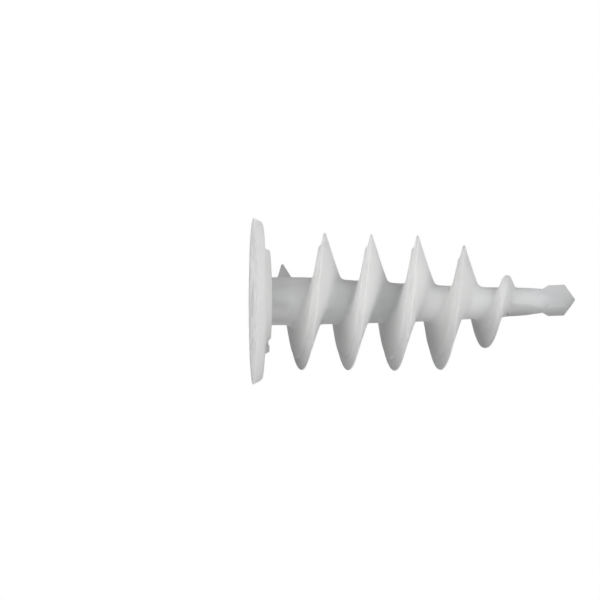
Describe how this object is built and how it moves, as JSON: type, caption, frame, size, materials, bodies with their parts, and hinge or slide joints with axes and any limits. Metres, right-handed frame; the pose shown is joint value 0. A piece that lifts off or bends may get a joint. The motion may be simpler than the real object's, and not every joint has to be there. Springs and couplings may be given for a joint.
{
  "type": "insulation plug",
  "caption": "Screw-in plastic plug for soft insulation board: round flange, tapered shank with a coarse left-hand thread, drill blade at the tip, six-lobe recess and blind screw bore.",
  "frame": {"origin": "centre of the flange's outer face", "axes": "+Z along the plug from the flange to the drill tip, +X along the wide side of the drill blade"},
  "size_m": [0.0284, 0.0282, 0.0548],
  "materials": {
    "nylon": "translucent off-white moulded nylon, smooth and slightly satin"
  },
  "bodies": {
    "root": {"plug": "nylon"}
  },
  "joints": []
}
